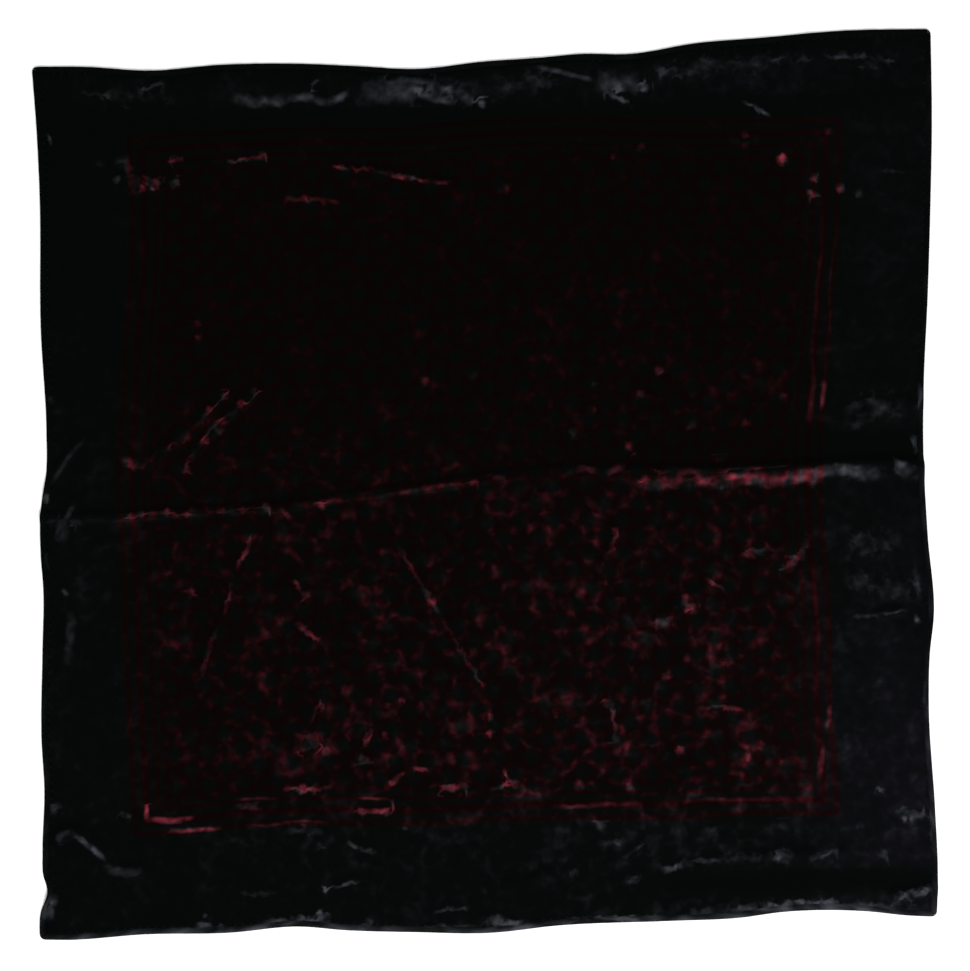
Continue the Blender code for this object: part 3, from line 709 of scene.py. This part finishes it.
def add_node(tree, kind, inputs=None, **settings):
    """Adds a node with its settings, and fills each of its inputs with a value or a link."""
    made = tree.nodes.new("ShaderNode" + kind)
    for name, value in settings.items():
        setattr(made, name, value)
    for name, value in (inputs or {}).items():
        if isinstance(value, bpy.types.NodeSocket):
            tree.links.new(value, made.inputs[name])
        else:
            made.inputs[name].default_value = value
    return made


def new_material(name):
    """A material with no nodes in it yet, and its tree."""
    made = bpy.data.materials.new(name)
    made.use_nodes = True
    made.node_tree.nodes.clear()
    return made, made.node_tree


# How unevenly the pile lies, as noise, which breaks up its painted sheen. Scales are in repeats a metre
WIDE_SCALE = 24.0
PATCH_SCALE = 85.0
STRAND_SCALE = 125.0
STRAND_SHARE = 0.15     # how much of it comes from the strands, and then from the wide noise
WIDE_SHARE = 0.40
# Each noise is stretched round its middle: times the first, plus the second
RESTLESS_STRETCH = (2.45, -1.02)
LIT_STRETCH = (2.4, -0.2)
FRAY_STRETCH = (2.6, -1.3)
HAZE_STRETCH = (1.2, 0.4)
STREAK_LEVEL = 0.94     # a painted highlight stroke is this strong on the whole, and this broken, more if ragged
STREAK_BROKEN = 1.4
STREAK_RAGGED = 0.7
EYE_HOLDS = 0.6         # how much less painted highlight a stroke lays on the calm pile
SHINE_POWER = 3.0       # the painted sheen comes up suddenly as the pile goes over


def pile_colour_with_painted_sheen(tree, place, printed, calm):
    """The colour of the pile with its sheen painted in: dark where it stands, and painted lighter where it
    is hazy, restless or pressed. It is less restless by the share in calm."""
    wide = add_node(tree, "TexNoise", {"Vector": place, "Scale": WIDE_SCALE, "Detail": 1.0}).outputs[0]
    patches = add_node(tree, "TexNoise", {
        "Vector": place, "Scale": PATCH_SCALE, "Detail": 1.0, "Roughness": 0.5,
        "Distortion": 0.3}).outputs[0]
    strands = add_node(tree, "TexNoise", {
        "Vector": place, "Scale": STRAND_SCALE, "Detail": 2.0, "Roughness": 0.5,
        "Distortion": 0.4}).outputs[0]
    pile = add_node(tree, "SeparateXYZ", {
        0: add_node(tree, "Attribute", attribute_name="pile").outputs["Vector"]})
    stroke = add_node(tree, "SeparateXYZ", {
        0: add_node(tree, "Attribute", attribute_name="stroke").outputs["Vector"]})

    uneven = add_node(tree, "Mix", {0: STRAND_SHARE, 2: patches, 3: strands}).outputs[0]
    uneven = add_node(tree, "Mix", {0: WIDE_SHARE, 2: uneven, 3: wide}).outputs[0]
    times, plus = RESTLESS_STRETCH
    base = add_node(tree, "Math", {0: uneven, 1: times, 2: plus}, operation="MULTIPLY_ADD").outputs[0]
    base = add_node(tree, "Math", {0: base, 1: pile.outputs[0]}, operation="MULTIPLY").outputs[0]
    stirred = add_node(tree, "Math", {0: 1.0, 1: calm}, operation="SUBTRACT").outputs[0]
    restless = add_node(tree, "Math", {0: base, 1: stirred}, operation="MULTIPLY").outputs[0]
    times, plus = LIT_STRETCH
    lit = add_node(tree, "Math", {0: patches, 1: times, 2: plus}, operation="MULTIPLY_ADD").outputs[0]
    lit = add_node(tree, "Math", {0: lit, 1: pile.outputs[2]}, operation="MULTIPLY").outputs[0]

    times, plus = FRAY_STRETCH
    frayed = add_node(tree, "Math", {0: strands, 1: times, 2: plus}, operation="MULTIPLY_ADD").outputs[0]
    off_line = add_node(tree, "Math", {
        0: frayed, 1: stroke.outputs[2], 2: stroke.outputs[0]}, operation="MULTIPLY_ADD").outputs[0]
    off_line = add_node(tree, "Math", {0: off_line, 1: off_line}, operation="MULTIPLY").outputs[0]
    across = add_node(tree, "Math", {0: 1.0, 1: off_line}, operation="SUBTRACT", use_clamp=True).outputs[0]
    broken = add_node(tree, "Math", {
        0: stroke.outputs[2], 1: STREAK_RAGGED, 2: STREAK_BROKEN}, operation="MULTIPLY_ADD").outputs[0]
    streaks = add_node(tree, "Math", {0: patches, 1: 0.5}, operation="SUBTRACT").outputs[0]
    streaks = add_node(
        tree, "Math", {0: streaks, 1: broken, 2: STREAK_LEVEL}, operation="MULTIPLY_ADD").outputs[0]
    pressed = add_node(tree, "Math", {0: across, 1: streaks}, operation="MULTIPLY").outputs[0]
    pressed = add_node(tree, "Math", {0: pressed, 1: stroke.outputs[1]}, operation="MULTIPLY").outputs[0]
    upright = add_node(tree, "Math", {0: calm, 1: -EYE_HOLDS, 2: 1.0}, operation="MULTIPLY_ADD").outputs[0]
    pressed = add_node(tree, "Math", {0: pressed, 1: upright}, operation="MULTIPLY").outputs[0]

    turned = add_node(tree, "Math", {0: restless, 1: lit}, operation="MAXIMUM").outputs[0]
    turned = add_node(tree, "Math", {0: turned, 1: pressed}, operation="MAXIMUM", use_clamp=True).outputs[0]
    painted_shine = add_node(tree, "Math", {0: turned, 1: SHINE_POWER}, operation="POWER").outputs[0]
    times, plus = HAZE_STRETCH
    soft = add_node(tree, "Math", {0: uneven, 1: times, 2: plus}, operation="MULTIPLY_ADD").outputs[0]
    hazy = add_node(tree, "Math", {0: soft, 1: pile.outputs[1]}, operation="MULTIPLY").outputs[0]
    haze = add_node(tree, "Math", {0: hazy, 1: SHINE_POWER}, operation="POWER").outputs[0]
    ground = add_node(tree, "MixRGB", {0: haze, 1: linear(PILE_UPRIGHT), 2: linear(PILE_PAINTED_HAZE)}).outputs[0]
    ground = add_node(tree, "MixRGB", {0: painted_shine, 1: ground, 2: linear(PILE_PRESSED_PAINTED_SHEEN)}).outputs[0]
    if printed is None:
        return ground
    dyed = add_node(tree, "MixRGB", {0: haze, 1: linear(PRINT_UPRIGHT), 2: linear(PRINT_PRESSED_PAINTED_SHEEN)}).outputs[0]
    dyed = add_node(tree, "MixRGB", {0: painted_shine, 1: dyed, 2: linear(PRINT_PRESSED_PAINTED_SHEEN)}).outputs[0]
    return add_node(tree, "MixRGB", {0: printed, 1: ground, 2: dyed}).outputs[0]


def velvet_surface(tree, place, colour):
    """The pile's surface: fully rough, no mirror of its own, a faint sheen and the grain of the tufts."""
    tufts = add_node(
        tree, "TexNoise", {"Vector": place, "Scale": TUFT_SCALE, "Detail": 2.0, "Roughness": 0.7}).outputs[0]
    grain = add_node(tree, "Bump", {"Strength": 0.3, "Distance": TUFT_RELIEF, "Height": tufts}).outputs[0]
    surface = add_node(tree, "BsdfPrincipled", {
        "Base Color": colour, "Roughness": PILE_ROUGHNESS, "Specular IOR Level": PILE_MIRRORS,
        "Sheen Weight": PILE_SHEEN, "Sheen Roughness": PILE_SHEEN_ROUGHNESS,
        "Sheen Tint": linear(PILE_SHEEN_TINT), "Normal": grain})
    tree.links.new(surface.outputs[0], add_node(tree, "OutputMaterial").inputs[0])


# Cut-pile velvet of viscose on silk: the upright pile swallows light and reads near-black. Where it is
# pressed over, its shine is painted into the colour as painted sheen, blue-grey, or rose where printed; the
# haze colour is painted sheen too.
PILE_UPRIGHT = "#040605"
PILE_PRESSED_PAINTED_SHEEN = "#36383D"
PILE_PAINTED_HAZE = "#3E3347"
PRINT_UPRIGHT = "#080303"
PRINT_PRESSED_PAINTED_SHEEN = "#702833"
PILE_ROUGHNESS = 0.9
PILE_MIRRORS = 0.0      # no light comes back off the tips of the pile as off a polished face
PILE_SHEEN = 0.12
PILE_SHEEN_ROUGHNESS = 0.3
PILE_SHEEN_TINT = "#8890A8"
TUFT_SCALE = 900.0      # about one a millimetre; the real tufts are finer than the render shows
TUFT_RELIEF = 0.0003
# Columns: how far a printed line lies inside the frame's outer line, its width
FRAME_LINES = [(0.0, 3.6), (12.7, 6.6), (25.0, 3.6)]
LINE_SPAN = 40.0        # the ramp that draws the lines covers this much, from just outside the frame
LINE_START = -7.0
LINE_BLUR = 1.2
LINE_BLEED = 0.24
FIELD_STARTS = 30.0     # the lattice begins this far inside the outer line, and is full after the edge
FIELD_EDGE = 0.8
PETAL_HALF_WIDTH = 0.20  # of the way between two dark eyes
PETAL_HALF_LENGTH = 0.45
PETAL_BLUR = 0.12       # the dye spreads a little in the pile
PRINT_BLEED = 0.64      # how much of it lies between the petals, round the dark eyes
EYE_DYE = 0.10          # how much of it lies in the eyes
EYE_INNER = 0.10        # the eyes stay so dark this far out, and the ground is fully bled from here
EYE_OUTER = 0.40
EYE_CALM = 0.35         # the pile stands straighter in the eyes, and shows less painted sheen there

velvet, tree = new_material("cut_pile_velvet_printed")
place = add_node(tree, "TexCoord").outputs["Object"]
frame_axes = add_node(tree, "SeparateXYZ", {
    0: add_node(tree, "Attribute", attribute_name="into_frame").outputs["Vector"]})
inward = add_node(
    tree, "Math", {0: frame_axes.outputs[0], 1: frame_axes.outputs[1]}, operation="MINIMUM").outputs[0]
line_place = add_node(tree, "MapRange", {
    "Value": inward, "From Min": LINE_START, "From Max": LINE_START + LINE_SPAN}).outputs[0]
lines = add_node(tree, "ValToRGB", {0: line_place})
ramp = lines.color_ramp
ramp.elements[0].color = (0, 0, 0, 1)
ramp.elements[1].position = (FIELD_STARTS - LINE_START) / LINE_SPAN
ramp.elements[1].color = (0, 0, 0, 1)
for centre, width in FRAME_LINES:
    for away, value in ((-0.5 * width - LINE_BLUR, LINE_BLEED), (-0.5 * width + LINE_BLUR, 1),
                        (0.5 * width - LINE_BLUR, 1), (0.5 * width + LINE_BLUR, LINE_BLEED)):
        stop = ramp.elements.new((centre + away - LINE_START) / LINE_SPAN)
        stop.color = (value, value, value, 1)

lattice_axes = add_node(tree, "SeparateXYZ", {
    0: add_node(tree, "Attribute", attribute_name="lattice").outputs["Vector"]})
p_wave = add_node(tree, "Math", {0: lattice_axes.outputs[0], 1: 0.5}, operation="PINGPONG").outputs[0]
q_wave = add_node(tree, "Math", {0: lattice_axes.outputs[1], 1: 0.5}, operation="PINGPONG").outputs[0]
petals = []
for across_wave, along_wave in ((p_wave, q_wave), (q_wave, p_wave)):
    bend = add_node(tree, "Math", {0: along_wave, 1: 2.0}, operation="POWER").outputs[0]
    narrowing = -PETAL_HALF_WIDTH / PETAL_HALF_LENGTH ** 2
    petals.append(add_node(
        tree, "Math", {0: bend, 1: narrowing, 2: across_wave}, operation="MULTIPLY_ADD").outputs[0])
petal = add_node(tree, "Math", {0: petals[0], 1: petals[1]}, operation="MAXIMUM").outputs[0]
edge = 0.5 - PETAL_HALF_WIDTH
petal_mask = add_node(
    tree, "MapRange", {"Value": petal, "From Min": edge - PETAL_BLUR, "From Max": edge + PETAL_BLUR},
    interpolation_type="SMOOTHSTEP").outputs[0]
p_squared = add_node(tree, "Math", {0: p_wave, 1: p_wave}, operation="MULTIPLY").outputs[0]
off_eye = add_node(tree, "Math", {0: q_wave, 1: q_wave, 2: p_squared}, operation="MULTIPLY_ADD").outputs[0]
bled = add_node(tree, "MapRange", {
    "Value": off_eye, "From Min": EYE_INNER ** 2, "From Max": EYE_OUTER ** 2,
    "To Min": EYE_DYE, "To Max": PRINT_BLEED},
    interpolation_type="SMOOTHSTEP").outputs[0]
dyed = add_node(tree, "Math", {0: petal_mask, 1: bled}, operation="MAXIMUM").outputs[0]
field_mask = add_node(tree, "MapRange", {
    "Value": inward, "From Min": FIELD_STARTS, "From Max": FIELD_STARTS + FIELD_EDGE}).outputs[0]
petals_in_field = add_node(tree, "Math", {0: dyed, 1: field_mask}, operation="MULTIPLY").outputs[0]
printed = add_node(tree, "Math", {0: petals_in_field, 1: lines.outputs[0]}, operation="MAXIMUM").outputs[0]

undyed = add_node(tree, "Math", {0: 1.0, 1: printed}, operation="SUBTRACT").outputs[0]
undyed = add_node(tree, "Math", {0: undyed, 1: field_mask}, operation="MULTIPLY").outputs[0]
calm = add_node(tree, "Math", {0: undyed, 1: EYE_CALM}, operation="MULTIPLY").outputs[0]
velvet_surface(tree, place, pile_colour_with_painted_sheen(tree, place, printed, calm))
cloth_mesh.materials.append(velvet)

# The back: the plain black ground weave of the velvet, matt, its threads about four to a millimetre
# and drawn coarser here, at one a millimetre.
WEAVE_COLOUR = "#0B0C0E"
WEAVE_THREAD = "#16181B"
WEAVE_PITCH = 0.001
weave, tree = new_material("black_ground_weave")
out = add_node(tree, "OutputMaterial")
axes = add_node(tree, "SeparateXYZ", {0: add_node(tree, "TexCoord").outputs["Object"]})
warp = add_node(
    tree, "Math", {0: axes.outputs[0], 1: WEAVE_PITCH / 2}, operation="PINGPONG").outputs[0]
weft = add_node(
    tree, "Math", {0: axes.outputs[1], 1: WEAVE_PITCH / 2}, operation="PINGPONG").outputs[0]
threads = add_node(tree, "Math", {0: warp, 1: weft}, operation="MAXIMUM").outputs[0]
threads_up = add_node(tree, "MapRange", {"Value": threads, "From Max": WEAVE_PITCH / 2}).outputs[0]
colour = add_node(
    tree, "MixRGB", {0: threads_up, 1: linear(WEAVE_COLOUR), 2: linear(WEAVE_THREAD)}).outputs[0]
bump = add_node(tree, "Bump", {"Strength": 0.4, "Distance": 0.0002, "Height": threads_up}).outputs[0]
surface = add_node(tree, "BsdfPrincipled", {"Base Color": colour, "Roughness": 0.8, "Normal": bump})
tree.links.new(surface.outputs[0], out.inputs[0])
cloth_mesh.materials.append(weave)

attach(velvet_square, "root")
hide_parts("velvet_panel")

# Rolled hems
# Each side of the square is rolled over twice by hand into a soft bead 7 mm wide and sewn down, so
# it puckers a little between the stitches. The four beads meet mitred at the corners.
HEM_WIDTH = 7.0
HEM_HEIGHT = 3.2
HEM_STATION = 3.0       # between places along the bead
HEM_SIDES = 16
# Columns: share of the way round the bead, from its inner edge; share of its width; of its height
HEM_SECTION = [
    (0.00, 0.00, 0.46), (0.12, 0.20, 0.70), (0.24, 0.42, 0.92), (0.35, 0.62, 1.00), (0.45, 0.82, 0.88),
    (0.54, 0.97, 0.62), (0.60, 1.00, 0.38), (0.68, 0.94, 0.10), (0.76, 0.76, 0.00), (0.86, 0.40, 0.00),
    (0.95, 0.06, 0.04), (1.00, 0.00, 0.46)]
CORNER_ROUNDING = 2.5   # how far the corner's tip is drawn in
CORNER_REACH = 6.0
MITRE_GAP = 0.1
PUCKER = 0.35           # between the stitches the bead stands in and down by this much
PUCKER_LENGTH = 9.0
PUCKER_SEED = 3.1
LONG_PUCKER_SHARE = 0.5
LONG_PUCKER_LENGTH = 2.5 * PUCKER_LENGTH
LONG_PUCKER_SEED = 9.1
CALM_REACH = 12.0       # near a corner it doesn't pucker
# The pile's noise runs over the unrolled bead: so many millimetres for each along it, so many for the
# whole way round, and each side so far from the next
ROLL_ALONG = 0.45
ROLL_ROUND = 10.0
ROLL_APART = 40.0
# How much painted light the pile of each bead takes. Columns: at the side's first corner, at its last
HEM_PAINTED_LIGHT = {"bottom": (0.75, 0.76), "right": (0.60, 0.16), "top": (0.0, 0.0), "left": (0.0, 0.42)}
HEM_PAINTED_LIGHT_SPREAD = 0.3    # under 1, so that the painted light reaches well in from the outer edge


def chord_length(side):
    """How long a side is, straight from corner to corner."""
    first, last, _ = SIDES[side]
    return float(np.linalg.norm(np.array(CORNERS[last]) - np.array(CORNERS[first])))


# The same cut-pile velvet with the same painted sheen, in the plain dark border that the edges are rolled
# from.
hem_velvet, tree = new_material("cut_pile_velvet_plain")
place = add_node(tree, "TexCoord").outputs["Object"]
roll = add_node(tree, "Attribute", attribute_name="roll").outputs["Vector"]
velvet_surface(tree, place, pile_colour_with_painted_sheen(tree, roll, None, 0.0))

for seed, side in enumerate(SIDES):
    length = chord_length(side)
    stations = round(length / HEM_STATION)
    hem_mesh, share, turn = flat_grid("rolled_hem_" + side, stations, HEM_SIDES)
    gap = MITRE_GAP / length
    share = gap + share * (1.0 - 2.0 * gap)
    out_share = smooth_column(HEM_SECTION, 1, turn)
    rise = np.clip(smooth_column(HEM_SECTION, 2, turn), 0.0, 1.0)
    along = share * length
    puckers = wandering(along, 0.0 * along, PUCKER_LENGTH, PUCKER_SEED + seed)
    puckers += LONG_PUCKER_SHARE * wandering(along, 0.0 * along, LONG_PUCKER_LENGTH, LONG_PUCKER_SEED + seed)
    from_corner = np.minimum(along, length - along)
    calm = np.clip(from_corner / CALM_REACH, 0.0, 1.0)
    outer = side_line(side, 0.0, share)
    inner = side_line(side, HEM_WIDTH, share)
    across_hem = (outer - inner) / np.linalg.norm(outer - inner, axis=1)[:, None]
    drawn_in = CORNER_ROUNDING * np.clip(1.0 - from_corner / CORNER_REACH, 0.0, 1.0) ** 2
    outer = outer - across_hem * drawn_in[:, None]
    inner = inner + across_hem * (PUCKER * calm * puckers)[:, None]
    spots = inner + out_share[:, None] * (outer - inner)
    height = HEM_HEIGHT - PUCKER * (1.0 - puckers * calm)
    z = lift(spots[:, 0], spots[:, 1], FOLDS) + rise * height
    hem_mesh.vertices.foreach_set("co", (np.column_stack([spots, z]) * MM).ravel())
    apart = np.full(len(along), ROLL_APART * seed)
    store(hem_mesh, "roll", along * ROLL_ALONG * MM, turn * ROLL_ROUND * MM, apart * MM)
    # The bead's painted light, from corner to corner, strongest at its outer edge.
    lit_first, lit_last = HEM_PAINTED_LIGHT[side]
    painted_light_on_bead = (lit_first + share * (lit_last - lit_first)) * out_share ** HEM_PAINTED_LIGHT_SPREAD
    set_painted_sheen_of_pile(hem_mesh, *spots.T, painted_light_on_bead, np.ones(len(spots)))
    bm = bmesh.new()
    bm.from_mesh(hem_mesh)
    bmesh.ops.remove_doubles(bm, verts=bm.verts, dist=1e-6)
    bmesh.ops.holes_fill(bm, edges=[edge for edge in bm.edges if edge.is_boundary])
    bmesh.ops.recalc_face_normals(bm, faces=bm.faces)
    bm.to_mesh(hem_mesh)
    bm.free()
    hem_mesh.shade_smooth()
    hem_mesh.materials.append(hem_velvet)
    hem = in_scene("rolled_hem_" + side, hem_mesh)
    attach(hem, "root")
    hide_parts("hem_" + side)

# Slip stitches
# Each hem is held by small stitches in black silk thread, one about every 8 mm, which cross from
# the bead's inner edge into the cloth.
STITCH_PITCH = 8.0
STITCH_LENGTH = 2.4
STITCH_THICK = 0.45
STITCH_SLANT = 35.0     # degrees off the hem's line
STITCH_FIRST = 15.0     # how far from the corners the first and last ones are
STITCH_OFF_BEAD = 0.3
STITCH_OFF_CLOTH = 0.1
bm = bmesh.new()
bmesh.ops.create_uvsphere(bm, u_segments=6, v_segments=5, radius=1.0)
bmesh.ops.scale(bm, verts=bm.verts, vec=Vector((STITCH_LENGTH, STITCH_THICK, STITCH_THICK)) * 0.5 * MM)
one_stitch = bpy.data.meshes.new("one_stitch")
bm.to_mesh(one_stitch)
bm.free()

bm = bmesh.new()
for side in SIDES:
    length = chord_length(side)
    stitched = length - 2.0 * STITCH_FIRST
    count = round(stitched / STITCH_PITCH)
    shares = (STITCH_FIRST + stitched * np.arange(count) / (count - 1)) / length
    spots = side_line(side, HEM_WIDTH + STITCH_OFF_BEAD, shares)
    ahead = side_line(side, HEM_WIDTH + STITCH_OFF_BEAD, shares + 1.0 / length)
    heights = lift(spots[:, 0], spots[:, 1], FOLDS) + CLOTH_THICK + STITCH_OFF_CLOTH
    for spot, front, height in zip(spots, ahead, heights):
        direction = np.arctan2(front[1] - spot[1], front[0] - spot[0]) + np.radians(STITCH_SLANT)
        stitch = one_stitch.copy()
        stitch.transform(
            Matrix.Translation(Vector((*spot, height)) * MM) @ Matrix.Rotation(direction, 4, "Z"))
        bm.from_mesh(stitch)
        bpy.data.meshes.remove(stitch)
bpy.data.meshes.remove(one_stitch)
stitch_mesh = bpy.data.meshes.new("slip_stitches")
bm.to_mesh(stitch_mesh)
bm.free()
stitch_mesh.shade_smooth()
slip_stitches = in_scene("slip_stitches", stitch_mesh)

# Black silk thread, twisted and dyed: a little smoother than the pile, and as dark.
thread = bpy.data.materials.new("black_silk_thread")
thread.use_nodes = True
surface = thread.node_tree.nodes["Principled BSDF"].inputs
surface["Base Color"].default_value = linear("#050607")
surface["Roughness"].default_value = 0.6
surface["Specular IOR Level"].default_value = 0.2
stitch_mesh.materials.append(thread)
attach(slip_stitches, "root")

# Floor, light and camera
# A white floor of matt paper, a broad soft lamp about 50 degrees up on the photo's lower right side,
# white light all round, and a camera straight above, as the photo was taken. Sizes are in metres.
FLOOR_HALF = 6.0
FLOOR_CLEAR = 0.0002    # the floor lies this far under the cloth
LAMP_PLACE = (0.69, -2.19, 2.74)
LAMP_WIDTH = 1.6
LAMP_WATTS = 104.0
AIR_LIGHT = 0.75
floor_mesh = bpy.data.meshes.new("floor")
bm = bmesh.new()
bmesh.ops.create_grid(bm, x_segments=1, y_segments=1, size=FLOOR_HALF)
bm.to_mesh(floor_mesh)
bm.free()
floor = in_scene("floor", floor_mesh)
floor.location.z = -FLOOR_CLEAR

# White photographer's paper, matt.
paper = bpy.data.materials.new("white_paper_sweep")
paper.use_nodes = True
surface = paper.node_tree.nodes["Principled BSDF"].inputs
surface["Base Color"].default_value = linear("#FAFAFA")
surface["Roughness"].default_value = 0.9
floor_mesh.materials.append(paper)

lamp_data = bpy.data.lights.new("soft_key", "AREA")
lamp_data.shape = "DISK"
lamp_data.size = LAMP_WIDTH
lamp_data.energy = LAMP_WATTS
lamp = in_scene("soft_key", lamp_data)
lamp.location = LAMP_PLACE
lamp.rotation_euler = (Vector((0, 0, 0)) - lamp.location).to_track_quat("-Z", "Y").to_euler()

world = bpy.data.worlds.new("studio_air")
world.use_nodes = True
air = world.node_tree.nodes["Background"].inputs
air["Color"].default_value = (1.0, 1.0, 1.0, 1.0)
air["Strength"].default_value = AIR_LIGHT
bpy.context.scene.world = world
bpy.context.scene.view_settings.view_transform = "Standard"

PIXEL = 0.90 / 895      # the photo's edges are about 895 pixels, and the scarf 0.90 m
HALF_HEIGHT = 971 / 2 * PIXEL
LENS = 85.0             # millimetres, as the sensor's half
SENSOR_HALF = 18.0
camera_data = bpy.data.cameras.new("straight_above")
camera_data.lens = LENS
camera = in_scene("straight_above", camera_data)
camera.location = (0.0, -0.001, HALF_HEIGHT * LENS / SENSOR_HALF)
bpy.context.scene.camera = camera
